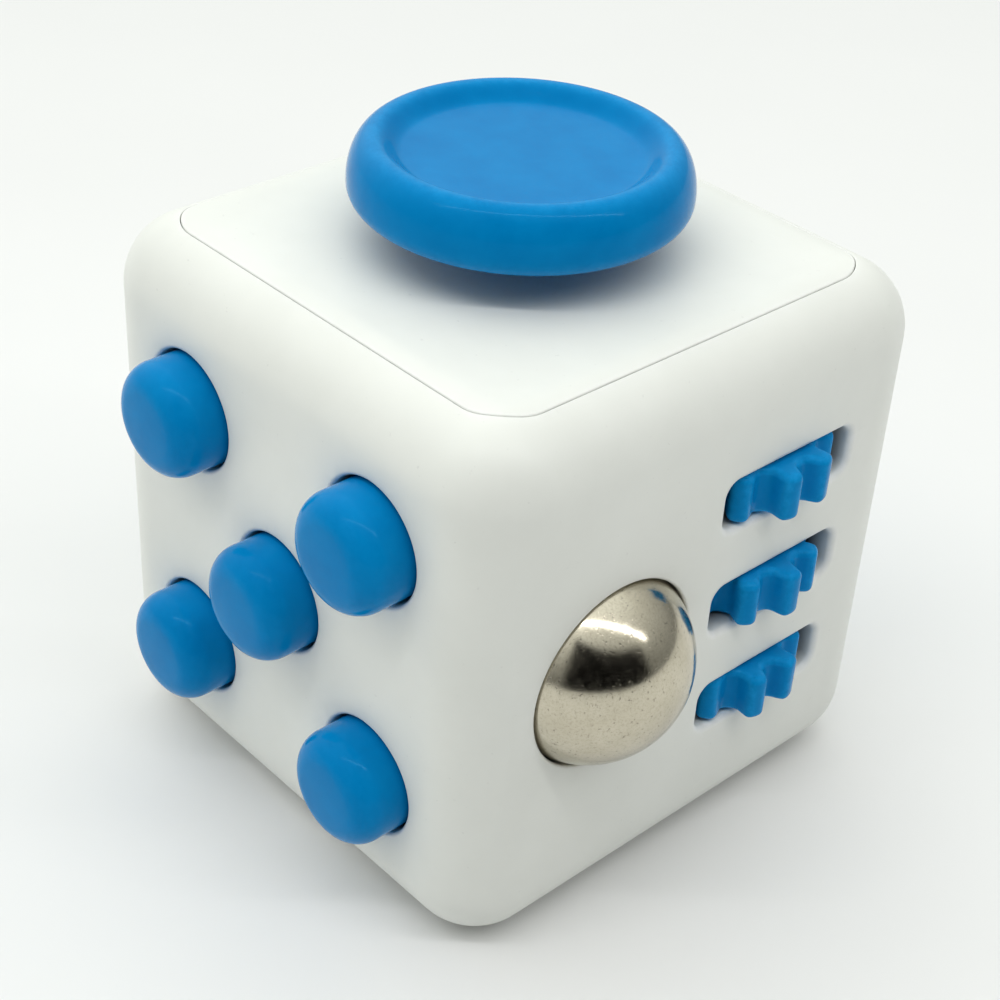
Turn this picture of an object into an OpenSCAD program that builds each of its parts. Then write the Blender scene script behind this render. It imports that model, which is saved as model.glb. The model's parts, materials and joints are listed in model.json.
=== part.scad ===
// Fidget cube: a hollow shell with five push buttons, a rolling ball and three
// gears, a joystick, a rocker switch, a spin dial and a worry-stone base.
// Millimetres, +Z up. The origin is the middle of the face that it rests on.

/* [Cube] */
// Length of each side of the cube
cube_w = 33; // [33:0.1:33.6]
// Radius of the cube's rounded edges and corners
edge_r = 4.1; // [3.8:0.1:4.3]
// Thickness of the shell's walls
wall = 2; // [1.9:0.05:2]
// Width of the square panels let into the top and the base
panel_w = 27.48; // [27.2:0.04:27.48]
// Thickness of the top and base panels
panel_t = 2; // [1.9:0.05:2]

/* [Buttons] */
// Diameter of each push button
button_d = 6.66; // [6.6:0.02:6.7]
// Distance from the centre button to the outer ones, along X and Z
button_pitch = 7.75; // [7.7:0.05:7.8]
// How far each button stands out of its face
button_out = 2.92; // [2.6:0.02:3]
// Radius of the button's rounded rim
button_edge_r = 1.6; // [1:0.1:2]
// Travel of a button when it is pressed
button_travel = 1; // [0.8:0.05:1]

/* [Ball] */
// Diameter of the rolling ball
ball_d = 11.5; // [11.4:0.02:11.54]
// How far the ball stands out of its face
ball_out = 3.75; // [3.7:0.01:3.8]

/* [Gears] */
// Number of teeth on each gear
gear_teeth = 10; // [10:10]
// Radius of a gear over its teeth
gear_r = 4.8; // [4.6:0.05:4.85]
// Radius of a gear at the bottom of its teeth
gear_root_r = 3.7; // [3.6:0.05:3.75]
// Thickness of each gear
gear_t = 2.9; // [2.8:0.05:2.9]
// Distance from one gear to the next
gear_pitch = 6.86; // [6.84:0.01:6.88]

/* [Joystick] */
// Radius of the joystick's round cap
cap_r = 9.36; // [9:0.02:9.4]
// Height of the cap from its lower edge to its crest
cap_h = 3.65; // [3.6:0.05:3.8]
// Gap between the cap and the top panel
cap_gap = 2.1; // [2.1:0.05:2.3]
// Depth of the hollow in the cap's top
cap_dish = 0.9; // [0.8:0.05:1]

/* [Rocker] */
// Length of the rocker switch, end to end
rocker_l = 14.8; // [14.6:0.1:14.8]
// Width of the rocker switch
rocker_w = 8; // [7.6:0.1:8]
// Tilt of the rocker to each side
rocker_tilt = 9; // [9:9]

/* [Dial] */
// Diameter of the spinning dial
dial_d = 17; // [16:0.1:17.4]
// How far the dial stands out of its face
dial_out = 2.6; // [2.5:0.05:2.8]

/* [Base] */
// Radius of the thumb dish in the base
dish_r = 10.5; // [10:0.1:10.6]
// Depth of the thumb dish
dish_depth = 2.2; // [1.8:0.1:2.2]

/* [Hidden] */
$fn = 64;

// Colours of the mouldings and the metal
WHITE = "whitesmoke";
BLUE = [0.04, 0.44, 0.66];
STEEL = "silver";
GREY = "gainsboro";

// The cube
eps = 0.01;
half = cube_w / 2;
mid_z = cube_w / 2;
inner = half - wall;
inner_r = edge_r - wall;
panel_r = 2.7;
seam = 0.06;
lip = 1.2;
throat_w = 2 * (inner - 1.9);
throat_r = 1.6;
hook_w = 4;
hook_t = 1.2;
hook_barb = 0.7;
clear_r = 0.05;
screw_r = 0.5;

// The button face: distances measured outwards from the face are negative inside the cube
button_r = button_d / 2;
button_gap = 0.27;
flange_r = 4.15;
flange_t = 1;
flange_w = -wall - 0.15;
nub_r = 1.2;
nub_w = flange_w - flange_t - 0.5;
plate_t = 1.4;
plate_rest = 0.25;
plate_w = nub_w - button_travel - plate_rest;
dome_r = 2.2;
dome_h = 1.22;
post_r = 1.6;
plate_posts = [[0, 9.9], [0, -9.9], [-11.2, 0]];

// The ball
ball_r = ball_d / 2;
ball_x = half + ball_out - ball_r;
ball_y = -7.13;
ball_z = mid_z + 0.1;
ball_gap = 0.2;
carrier_r = 4.2;
carrier_x = 7.4;
stem_r = 1.6;
bracket_x = 2.2;
bracket_t = 1.4;
bracket_w = 5.4;
bracket_reach = 8;

// The gears turn on one upright axle behind three windows
gear_x = 13.35;
gear_y = 5.3;
gear_phase = [20.5, 0.5, -17.5];
gear_bore_r = 0.68;
axle_r = 0.6;
arm_gap = 0.3;
arm_w = 4.4;
arm_t = 1.6;
spine_x = 6.6;
spine_t = 1.6;
window_w = 10.25;
window_h = 3.38;
window_r = 1;
window_y = 5.375;
foot_rise = 0.8;
foot_from = 1.4;
foot_to = 12.35;
foot_y = 11.3;
axle_head_r = 1;
axle_head_t = 0.5;

// The joystick tilts on a gimbal
tilt_z = cube_w - 4.6;
cap_z = cube_w + cap_gap;
cap_under_r = 1.15;
cap_top_r = 1.36;
cap_floor_r = 6.85;
cap_mouth_r = 7.9;
hub_r = 3.3;
neck_r = 2.4;
ring_in = 3.7;
ring_out = 4.7;
ring_h = 2;
cup_in = 5.05;
cup_out = 6.4;
cup_floor = tilt_z - 2.7;
tube_in = 3.1;
tube_out = 3.9;
tube_z = 19.2;
flange_out = 8.8;
flange_h = 1.3;
stick_hole_r = 4.4;

// The rocker
rocker_in = 1.6;
rocker_r = rocker_l / 2;
rocker_gap = 0.2;
rocker_corner_r = 0.4;
rocker_v = 2.3;
rocker_peak = 4.05;
rocker_back = 0.8;
notch_r = 0.36;
cam_w = 2.4;
trunnion_r = 0.8;
cam_r = 3;
leaf_t = 0.2;
rocker_leaf_w = -5;
rocker_frame_t = 1.4;

// The dial
dial_gap = 0.3;
dial_hub_r = 2.9;
retainer_r = 4.4;
retainer_t = 1;
retainer_w = -wall - 0.3;
click_v = -5.4;

// ---------- shared shapes ----------

// Moves a shape drawn on the face that looks along -Y to the face at the given angle
// X runs to the right across the face, Y upwards and Z outwards from its surface
module on_face(angle) {
    translate([0, 0, mid_z]) rotate([90, 0, angle]) translate([0, 0, half]) children();
}

module quarter_disc(r) {
    intersection() {
        circle(r = r);
        square(r);
    }
}

// A block with rounded corners, centred on the Z axis
module rounded_plate(w, d, r, h) {
    translate([-w / 2, r - d / 2, 0]) cube([w, d - 2 * r, h]);
    for (end = [0, d - r]) translate([r - w / 2, end - d / 2, 0]) cube([w - 2 * r, r, h]);
    corners = [[1, 1, 0], [-1, 1, 90], [-1, -1, 180], [1, -1, 270]];
    for (c = corners) {
        translate([c[0] * (w / 2 - r), c[1] * (d / 2 - r), 0])
            rotate([0, 0, c[2]]) rotate_extrude(angle = 90) square([r, h]);
    }
}

// A cube with round edges and corners, centred on the origin
module rounded_cube(w, r) {
    flat = w / 2 - r;
    translate([-w / 2, -flat, -flat]) cube([w, 2 * flat, 2 * flat]);
    translate([-flat, -w / 2, -flat]) cube([2 * flat, w, 2 * flat]);
    translate([-flat, -flat, -w / 2]) cube([2 * flat, 2 * flat, w]);
    for (axis = [[0, 0, 0], [90, 0, 0], [0, 90, 0]], turn = [0:90:270]) {
        rotate(axis) rotate([0, 0, turn]) translate([flat, flat, -flat])
            rotate_extrude(angle = 90) square([r, 2 * flat]);
    }
    for (flip = [0, 180], turn = [0:90:270]) {
        rotate([flip, 0, 0]) rotate([0, 0, turn]) translate([flat, flat, flat])
            rotate_extrude(angle = 90) quarter_disc(r);
    }
}

// A cross-head screw that is driven along +Z, with its head below the plane z = 0
module screw(r, l, head_r, head_h) {
    difference() {
        translate([0, 0, -head_h]) cylinder(r = head_r, h = head_h);
        for (turn = [0, 90]) {
            rotate([0, 0, turn]) translate([-head_r * 0.6, -0.12, -head_h - eps])
                cube([head_r * 1.2, 0.24, head_h / 2]);
        }
    }
    translate([0, 0, -eps]) cylinder(r = r, h = l - r + eps);
    translate([0, 0, l - r]) cylinder(r1 = r, r2 = 0.1, h = r);
}

// A coil spring of round wire that stands on the plane z = 0
module coil_spring(mean_r, wire_r, l, turns) {
    steps = 16;
    sides = 8;
    rings = steps * turns;
    rise = l - 2 * wire_r;
    points = [
        for (i = [0:rings], j = [0:sides - 1])
            let (
                a = 360 * i / steps,
                b = 360 * j / sides,
                out = mean_r + wire_r * cos(b)
            )
            [out * cos(a), out * sin(a), wire_r + rise * i / rings + wire_r * sin(b)]
    ];
    skin = [
        for (i = [0:rings - 1], j = [0:sides - 1])
            let (k = (j + 1) % sides)
            [i * sides + j, i * sides + k, (i + 1) * sides + k, (i + 1) * sides + j]
    ];
    ends = [
        [for (j = [sides - 1:-1:0]) j],
        [for (j = [0:sides - 1]) rings * sides + j]
    ];
    polyhedron(points = points, faces = concat(skin, ends), convexity = 8);
}

// ---------- the case ----------

// A snap hook under a panel, seen from the +X side, that hangs from z = 0 and catches a ledge
module snap_hook(drop) {
    translate([throat_w / 2 - 0.1, hook_w / 2, 0]) rotate([90, 0, 0])
        linear_extrude(hook_w)
            polygon([
                [-hook_t, -eps], [0, -eps], [0, drop - 0.8], [hook_barb, drop - 0.8],
                [0, drop], [-hook_t, drop]
            ]);
}

module hooks(drop) {
    for (turn = [0:90:270]) rotate([0, 0, turn]) snap_hook(drop);
}

// The part of the rounded cube that a square panel fills, from z = 0 up to its thickness
module panel_blank() {
    intersection() {
        translate([0, 0, mid_z]) rounded_cube(cube_w, edge_r);
        rounded_plate(panel_w, panel_w, panel_r, panel_t);
    }
}

module button_holes() {
    for (u = [-1, 0, 1], v = [-1, 0, 1]) {
        if (abs(u) == abs(v)) {
            translate([u * button_pitch, v * button_pitch, -wall - 1])
                cylinder(r = button_r + button_gap, h = wall + 2);
            translate([u * button_pitch, v * button_pitch, -0.15])
                cylinder(r1 = button_r + button_gap, r2 = button_r + button_gap + 0.3, h = 0.3);
        }
    }
}

module screw_holes(places, from_w, depth) {
    for (p = places) translate([p[0], p[1], from_w]) cylinder(r = screw_r + clear_r, h = depth);
}

function gear_z(i) = mid_z + 0.31 + (1 - i) * gear_pitch;
bracket_feet = [[ball_y, 9.6], [ball_y, -9.6]];
frame_feet = [[foot_y, 10], [foot_y, -9.7]];
rocker_feet = [for (u = [-6.5, 6.5], v = [-9.6, 9.6]) [u, v]];

module side_shell() color(WHITE) {
    difference() {
        union() {
            difference() {
                translate([0, 0, mid_z]) rounded_cube(cube_w, edge_r);
                translate([0, 0, panel_t + lip])
                    rounded_plate(2 * inner, 2 * inner, inner_r, cube_w - 2 * (panel_t + lip));
                translate([0, 0, -1]) rounded_plate(throat_w, throat_w, throat_r, cube_w + 2);
                for (z = [-1, cube_w - panel_t])
                    translate([0, 0, z])
                        rounded_plate(panel_w + 2 * seam, panel_w + 2 * seam, panel_r + seam, panel_t + 1);
            }
            on_face(0) {
                for (p = plate_posts)
                    translate([p[0], p[1], plate_w]) cylinder(r = post_r, h = -plate_w - wall + 0.2);
            }
            on_face(180) {
                for (u = [-6, 4.4]) translate([u, click_v - 0.9, -3.6]) cube([1.6, 1.6, 1.8]);
            }
        }
        on_face(0) button_holes();
        on_face(0) screw_holes(plate_posts, plate_w - 1, 4.4);
        translate([ball_x, ball_y, ball_z]) sphere(r = ball_r + ball_gap);
        for (i = [0:2])
            on_face(90) translate([window_y, gear_z(i) - mid_z, -wall - 1])
                rounded_plate(window_w, window_h, window_r, wall + 2);
        on_face(90) screw_holes(bracket_feet, -wall - 1, 2.3);
        on_face(90) screw_holes(frame_feet, -wall - 1, 2.3);
        on_face(180) {
            translate([0, 0, -wall - 1]) cylinder(r = dial_hub_r + 0.1, h = wall + 2);
            translate([-5.7, click_v - 0.12, -4]) cube([11.4, 0.24, 1.7]);
        }
        on_face(270) {
            translate([0, 0, -wall - 1])
                rounded_plate(
                    rocker_w + 2 * rocker_gap, rocker_l + 2 * rocker_gap, rocker_corner_r, wall + 2
                );
            translate([-5.4, 0, -rocker_in]) rotate([0, 90, 0])
                cylinder(r = trunnion_r + clear_r, h = 10.8);
            screw_holes(rocker_feet, -wall - 1, 2.3);
        }
    }
}

cradle_screw_r = 7.6;
cradle_places = [for (a = [45:90:315]) [cradle_screw_r * cos(a), cradle_screw_r * sin(a)]];

module top_panel() color(WHITE) {
    difference() {
        translate([0, 0, cube_w]) mirror([0, 0, 1]) union() {
            panel_blank();
            translate([0, 0, panel_t]) hooks(lip + 0.9);
        }
        translate([0, 0, cube_w - panel_t - 1]) cylinder(r = stick_hole_r, h = panel_t + 2);
        screw_holes(cradle_places, cube_w - panel_t - 1, 2.3);
    }
}

module base_panel() color(WHITE) {
    dome = (dish_r * dish_r + dish_depth * dish_depth) / (2 * dish_depth);
    centre_z = dish_depth - dome;
    difference() {
        union() {
            panel_blank();
            translate([0, 0, panel_t]) hooks(lip + 0.9);
            intersection() {
                translate([0, 0, centre_z]) sphere(r = dome + 1.6, $fn = 128);
                translate([0, 0, panel_t / 2]) cylinder(r = dish_r, h = dish_depth + 2);
            }
        }
        translate([0, 0, centre_z]) sphere(r = dome, $fn = 128);
    }
}

// ---------- the five buttons ----------

module push_button(u, v) color(BLUE) {
    on_face(0) translate([u * button_pitch, v * button_pitch, 0]) rotate_extrude() {
        translate([0, flange_w]) square([button_r, button_out - button_edge_r - flange_w]);
        translate([0, button_out - button_edge_r]) square([button_r - button_edge_r, button_edge_r]);
        translate([button_r - button_edge_r, button_out - button_edge_r]) quarter_disc(button_edge_r);
        translate([0, flange_w - flange_t]) square([flange_r, flange_t]);
        translate([0, nub_w]) square([nub_r, flange_w - flange_t - nub_w]);
    }
}

module button_upper_left() { push_button(-1, 1); }
module button_upper_right() { push_button(1, 1); }
module button_centre() { push_button(0, 0); }
module button_lower_left() { push_button(-1, -1); }
module button_lower_right() { push_button(1, -1); }

// A snap dome of thin sprung steel under a button that clicks
module click_dome(u, v) color(STEEL) {
    curve = (dome_r * dome_r + dome_h * dome_h) / (2 * dome_h);
    on_face(0) translate([u * button_pitch, v * button_pitch, plate_w]) rotate_extrude()
        intersection() {
            translate([0, dome_h - curve]) difference() {
                circle(r = curve);
                circle(r = curve - 0.12);
            }
            square([dome_r + 1, dome_h + 1]);
        }
}

module click_dome_upper_left() { click_dome(-1, 1); }
module click_dome_centre() { click_dome(0, 0); }
module click_dome_lower_right() { click_dome(1, -1); }

// A soft cup under a button that is silent
module silent_cup(u, v) color(GREY) {
    on_face(0) translate([u * button_pitch, v * button_pitch, plate_w]) rotate_extrude()
        polygon([
            [0, 0.8], [0.9, 0.8], [1.2, 0], [dome_r, 0], [dome_r, 0.3], [1.6, 0.35],
            [1.3, dome_h - 0.1], [1.1, dome_h], [0, dome_h]
        ]);
}

module silent_cup_upper_right() { silent_cup(1, 1); }
module silent_cup_lower_left() { silent_cup(-1, -1); }

module button_backplate() color(GREY) {
    on_face(0) difference() {
        translate([-12.2, -11.7, plate_w - plate_t]) cube([24.4, 23.4, plate_t]);
        translate([ball_x - 0.6, ball_z - mid_z, plate_w - 2]) cylinder(r = 5.7, h = 3);
        translate([5.9, ball_z - mid_z - 3.3, plate_w - 2]) cube([7, 6.6, 3]);
        screw_holes(plate_posts, plate_w - 2, 3);
    }
}

module backplate_screws() color(STEEL) {
    on_face(0) {
        for (p = plate_posts) translate([p[0], p[1], plate_w - plate_t]) screw(screw_r, 4.4, 0.95, 0.7);
    }
}

// ---------- the rolling ball ----------

module along_ball_axis() {
    translate([0, ball_y, ball_z]) rotate([0, 90, 0]) children();
}

module roller_ball() color(STEEL) {
    translate([ball_x, ball_y, ball_z]) rotate([90, 0, 0]) sphere(r = ball_r);
}

module ball_carrier() color(GREY) {
    along_ball_axis() {
        difference() {
            translate([0, 0, carrier_x]) cylinder(r = carrier_r, h = 3.5);
            translate([0, 0, ball_x]) sphere(r = ball_r + clear_r);
        }
        translate([0, 0, 1.4]) cylinder(r = stem_r, h = carrier_x - 1.4 + eps);
    }
}

module ball_spring() color(STEEL) {
    gap = carrier_x - bracket_x - bracket_t;
    along_ball_axis() translate([0, 0, bracket_x + bracket_t]) coil_spring(2.2, 0.25, gap, 3);
}

module ball_bracket() color(GREY) {
    difference() {
        union() {
            translate([bracket_x, ball_y - bracket_w / 2, ball_z - bracket_reach])
                cube([bracket_t, bracket_w, 2 * bracket_reach]);
            for (side = [-1, 1]) {
                leg_z = side > 0 ? bracket_reach - bracket_t : -bracket_reach;
                foot_z = side > 0 ? bracket_reach - bracket_t : -bracket_reach - 3;
                translate([bracket_x, ball_y - bracket_w / 2, ball_z + leg_z])
                    cube([inner - bracket_x, bracket_w, bracket_t]);
                translate([inner - bracket_t, ball_y - bracket_w / 2, ball_z + foot_z])
                    cube([bracket_t, bracket_w, 3 + bracket_t]);
            }
        }
        along_ball_axis() cylinder(r = stem_r + 0.1, h = carrier_x);
        on_face(90) screw_holes(bracket_feet, -wall - 2, 3);
    }
}

module ball_bracket_screws() color(STEEL) {
    on_face(90) {
        for (p = bracket_feet) translate([p[0], p[1], -wall - bracket_t]) screw(screw_r, 2.5, 0.95, 0.7);
    }
}

// ---------- the gears ----------

// The outline of a gear with round-shouldered teeth, at an angle around its axle
function tooth_wave(c) = c * sqrt(1 + 4) / sqrt(1 + 4 * c * c);
function gear_edge(a) =
    (gear_r + gear_root_r) / 2 + (gear_r - gear_root_r) / 2 * tooth_wave(cos(gear_teeth * a));

module gear(i) color(BLUE) {
    steps = 18 * gear_teeth;
    translate([gear_x, gear_y, gear_z(i) - gear_t / 2]) rotate([0, 0, gear_phase[i]])
        difference() {
            linear_extrude(gear_t)
                polygon([
                    for (k = [0:steps - 1])
                        let (a = 360 * k / steps)
                        gear_edge(a) * [cos(a), sin(a)]
                ]);
            translate([0, 0, -1]) cylinder(r = gear_bore_r, h = gear_t + 2);
        }
}

module gear_upper() { gear(0); }
module gear_middle() { gear(1); }
module gear_lower() { gear(2); }

arm_low_z = gear_z(2) - gear_t / 2 - arm_gap - arm_t;
arm_high_z = gear_z(0) + gear_t / 2 + arm_gap;

module gear_axle() color(STEEL) {
    translate([gear_x, gear_y, arm_low_z]) {
        cylinder(r = axle_r, h = arm_high_z + arm_t - arm_low_z + eps);
        translate([0, 0, arm_high_z + arm_t - arm_low_z]) cylinder(r = axle_head_r, h = axle_head_t);
    }
}

// The valley between two teeth that faces the click spring of gear i
function valley(i) =
    let (step = 360 / gear_teeth, first = gear_phase[i] + step / 2)
    first + step * floor((180 - first) / step + 0.5);

module gear_frame() color(GREY) {
    arm_x = inner - 0.3;
    spacer = gear_pitch - gear_t - 2 * arm_gap;
    difference() {
        union() {
            translate([spine_x, gear_y - arm_w / 2, arm_low_z])
                cube([spine_t, arm_w, arm_high_z + arm_t - arm_low_z]);
            for (z = [arm_low_z, arm_high_z])
                translate([spine_x, gear_y - arm_w / 2, z]) cube([arm_x - spine_x, arm_w, arm_t]);
            for (i = [1, 2])
                translate([spine_x, gear_y - arm_w / 2, gear_z(i) + gear_t / 2 + arm_gap])
                    cube([arm_x - spine_x, arm_w, spacer]);
            for (z = [arm_low_z - foot_rise, arm_high_z])
                translate([inner - arm_t, gear_y + foot_from, z])
                    cube([arm_t, foot_to - gear_y - foot_from, arm_t + foot_rise]);
        }
        translate([gear_x, gear_y, 0]) cylinder(r = axle_r, h = cube_w);
        translate([gear_x, gear_y - 0.5, 0]) cube([1.5, 1, cube_w]);
        for (i = [0:2]) {
            bump_y = gear_y + (gear_root_r + 0.4) * sin(valley(i));
            translate([spine_x + 0.6, bump_y - 0.9, gear_z(i) - 1.1]) cube([spine_t, 1.8, 2.2]);
        }
        on_face(90) screw_holes(frame_feet, -wall - 2, 3);
    }
}

module gear_frame_screws() color(STEEL) {
    on_face(90) {
        for (p = frame_feet) translate([p[0], p[1], -wall - arm_t]) screw(screw_r, 2.7, 0.95, 0.7);
    }
}

// A thin strip that clips round the frame's spine, with a bump in a tooth valley
module gear_click_spring(i) color(STEEL) {
    face_x = spine_x + spine_t;
    low_y = gear_y - arm_w / 2;
    high_y = gear_y + arm_w / 2;
    bump_y = gear_y + (gear_root_r + 0.4) * sin(valley(i));
    bump_x = gear_x + (gear_root_r + 0.12) * cos(valley(i));
    translate([0, 0, gear_z(i) - 0.8]) linear_extrude(1.6)
        polygon([
            [spine_x - leaf_t, low_y + 0.5], [spine_x - leaf_t, low_y - leaf_t],
            [face_x + leaf_t, low_y - leaf_t], [face_x + leaf_t, bump_y - 0.8],
            [bump_x, bump_y - 0.15], [bump_x, bump_y + 0.15], [face_x + leaf_t, bump_y + 0.8],
            [face_x + leaf_t, high_y + leaf_t], [spine_x - leaf_t, high_y + leaf_t],
            [spine_x - leaf_t, high_y - 0.5], [spine_x, high_y - 0.5], [spine_x, high_y],
            [face_x, high_y], [face_x, bump_y + 0.7], [bump_x - 0.3, bump_y],
            [face_x, bump_y - 0.7], [face_x, low_y], [spine_x, low_y], [spine_x, low_y + 0.5]
        ]);
}

module gear_click_spring_upper() { gear_click_spring(0); }
module gear_click_spring_middle() { gear_click_spring(1); }
module gear_click_spring_lower() { gear_click_spring(2); }

// ---------- the joystick ----------

module joystick_cap() color(BLUE) {
    side_h = cap_h - cap_under_r - cap_top_r;
    crest_r = cap_r - cap_top_r;
    difference() {
        translate([0, 0, cap_z]) rotate_extrude() {
            square([cap_r - cap_under_r, cap_h - cap_top_r]);
            translate([0, cap_under_r]) square([cap_r, side_h]);
            translate([cap_r - cap_under_r, cap_under_r]) mirror([0, 1]) quarter_disc(cap_under_r);
            translate([0, cap_h - cap_top_r]) square([crest_r, cap_top_r]);
            translate([crest_r, cap_h - cap_top_r]) quarter_disc(cap_top_r);
        }
        translate([0, 0, cap_z + cap_h - cap_dish])
            cylinder(r1 = cap_floor_r, r2 = cap_mouth_r + eps, h = cap_dish + eps);
        translate([0, 0, cap_z - 1]) rotate_extrude() translate([3.6, 0]) square([4, 2.4]);
        translate([0, 0, cap_z - 1]) cylinder(r = neck_r, h = 2.6);
    }
}

module joystick_stem() color(BLUE) {
    difference() {
        union() {
            translate([0, 0, tilt_z]) cylinder(r = neck_r, h = cap_z + 1.6 - tilt_z);
            translate([0, 0, tilt_z - 1.5]) cylinder(r = hub_r, h = 3);
            translate([0, 0, tilt_z - 3.8]) cylinder(r = 1.2, h = 3);
        }
        translate([0, -5, tilt_z]) rotate([-90, 0, 0]) cylinder(r = axle_r + 0.06, h = 10);
    }
}

module joystick_gimbal_ring() color(GREY) {
    difference() {
        union() {
            translate([0, 0, tilt_z - ring_h / 2]) cylinder(r = ring_out, h = ring_h);
            translate([-cup_out + 0.4, 0, tilt_z]) rotate([0, 90, 0])
                cylinder(r = axle_r, h = 2 * cup_out - 0.8);
        }
        translate([0, 0, tilt_z - ring_h]) cylinder(r = ring_in, h = 2 * ring_h);
        translate([0, -5, tilt_z]) rotate([-90, 0, 0]) cylinder(r = axle_r, h = 10);
    }
}

module joystick_pivot_pin() color(STEEL) {
    translate([0, -ring_out + 0.15, tilt_z]) rotate([-90, 0, 0])
        cylinder(r = axle_r, h = 2 * ring_out - 0.3);
}

module joystick_cradle() color(GREY) {
    top_z = cube_w - panel_t;
    difference() {
        union() {
            translate([0, 0, cup_floor - 0.8]) cylinder(r = cup_out, h = top_z - cup_floor + 0.8);
            translate([0, 0, tube_z]) cylinder(r = tube_out, h = cup_floor - tube_z);
            translate([0, 0, top_z - flange_h]) cylinder(r = flange_out, h = flange_h);
        }
        translate([0, 0, cup_floor]) cylinder(r = cup_in, h = 8);
        translate([0, 0, tube_z + 1.2]) cylinder(r = tube_in, h = 8);
        translate([-cup_out - 1, 0, tilt_z]) rotate([0, 90, 0])
            cylinder(r = axle_r + clear_r, h = 2 * cup_out + 2);
        translate([-cup_out - 0.5, -0.55, tilt_z]) cube([2 * cup_out + 1, 1.1, 5]);
        screw_holes(cradle_places, top_z - flange_h - 1, flange_h + 2);
    }
}

module joystick_cradle_screws() color(STEEL) {
    for (p = cradle_places)
        translate([p[0], p[1], cube_w - panel_t - flange_h]) screw(screw_r, 2.5, 0.95, 0.7);
}

module joystick_spring() color(STEEL) {
    floor_z = tube_z + 1.2;
    translate([0, 0, floor_z]) coil_spring(2.4, 0.3, tilt_z - 1.5 - floor_z - 0.02, 5);
}

// ---------- the rocker switch ----------

// Draws across the rocker: X of the outline runs up the face, Y outwards from its pivot
module along_pivot(width) {
    rotate([90, 0, 90]) translate([0, 0, -width / 2]) linear_extrude(width) children();
}

module rocker_switch() color(BLUE) {
    on_face(270) translate([0, 0, -rocker_in]) rotate([rocker_tilt, 0, 0]) {
        along_pivot(rocker_w) intersection() {
            circle(r = rocker_r);
            polygon([
                [-8, -rocker_back], [8, -rocker_back], [8, rocker_peak], [0, rocker_v], [-8, rocker_peak]
            ]);
        }
        along_pivot(cam_w) difference() {
            intersection() {
                circle(r = cam_r);
                translate([-4, -4]) square([8, 3.6]);
            }
            for (a = [-rocker_tilt, rocker_tilt])
                translate([cam_r * sin(a), -cam_r * cos(a)]) circle(r = notch_r);
        }
        translate([-5.2, 0, 0]) rotate([0, 90, 0]) cylinder(r = trunnion_r, h = 10.4);
    }
}

module rocker_frame() color(GREY) {
    on_face(270) difference() {
        union() {
            translate([0, 0, -wall - rocker_frame_t]) rounded_plate(15.2, 21.8, 1, rocker_frame_t);
            for (u = [-6.2, 4.6])
                translate([u, -1.5, rocker_leaf_w]) cube([1.6, 3, -rocker_leaf_w - wall - 0.2]);
        }
        translate([0, 0, -wall - 2]) rounded_plate(8.6, 15.8, 1, 3);
        translate([-5.4, 0, -rocker_in]) rotate([0, 90, 0]) cylinder(r = trunnion_r + clear_r, h = 10.8);
        screw_holes(rocker_feet, -wall - 2, 3);
        for (u = [-5.4, 5.4]) translate([u, 0, rocker_leaf_w - 1]) cylinder(r = 0.45, h = 3.2);
    }
}

module rocker_frame_screws() color(STEEL) {
    on_face(270) {
        for (p = rocker_feet)
            translate([p[0], p[1], -wall - rocker_frame_t]) screw(screw_r, 2.5, 0.9, 0.7);
    }
}

// A flat strip across the back of the rocker, with a ridge that drops in the cam's notches
module rocker_click_spring() color(STEEL) {
    ridge = -rocker_in - cam_r + 0.26;
    on_face(270) difference() {
        union() {
            for (u = [-6.2, 1.4])
                translate([u, -1.2, rocker_leaf_w - leaf_t]) cube([4.8, 2.4, leaf_t]);
            along_pivot(2.8)
                polygon([
                    [-1.2, rocker_leaf_w - leaf_t], [-1.2, rocker_leaf_w], [-0.7, rocker_leaf_w],
                    [-0.1, ridge], [0.1, ridge], [0.7, rocker_leaf_w], [1.2, rocker_leaf_w],
                    [1.2, rocker_leaf_w - leaf_t], [0.6, rocker_leaf_w - leaf_t], [0, ridge - 0.3],
                    [-0.6, rocker_leaf_w - leaf_t]
                ]);
        }
        for (u = [-5.4, 5.4]) translate([u, 0, rocker_leaf_w - 1]) cylinder(r = 0.45, h = 2);
    }
}

module rocker_spring_screws() color(STEEL) {
    on_face(270) {
        for (u = [-5.4, 5.4]) translate([u, 0, rocker_leaf_w - leaf_t]) screw(0.4, 2, 0.75, 0.5);
    }
}

// ---------- the spin dial ----------

module dial_knob() color(BLUE) {
    dial_r = dial_d / 2;
    rim = 0.8;
    dimple_r = 5.45;
    on_face(180) difference() {
        rotate_extrude() {
            translate([0, dial_gap]) square([dial_r, dial_out - dial_gap - rim]);
            translate([0, dial_out - rim]) square([dial_r - rim, rim]);
            translate([dial_r - rim, dial_out - rim]) quarter_disc(rim);
            translate([0, retainer_w]) square([dial_hub_r, dial_gap - retainer_w]);
        }
        translate([4.2, 0, dial_out - 0.9 + dimple_r]) sphere(r = dimple_r);
        translate([0, 0, retainer_w - 1]) cylinder(r = screw_r + clear_r, h = 4.4);
    }
}

module dial_retainer() color(GREY) {
    on_face(180) translate([0, 0, retainer_w - retainer_t]) difference() {
        cylinder(r = retainer_r, h = retainer_t);
        for (a = [0:30:330])
            rotate([0, 0, a]) translate([retainer_r + 0.1, 0, -1]) cylinder(r = 0.5, h = retainer_t + 2);
        translate([0, 0, -1]) cylinder(r = screw_r + clear_r, h = retainer_t + 2);
    }
}

module dial_screw() color(STEEL) {
    on_face(180) translate([0, 0, retainer_w - retainer_t]) screw(screw_r, 4, 1.3, 0.8);
}

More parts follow.
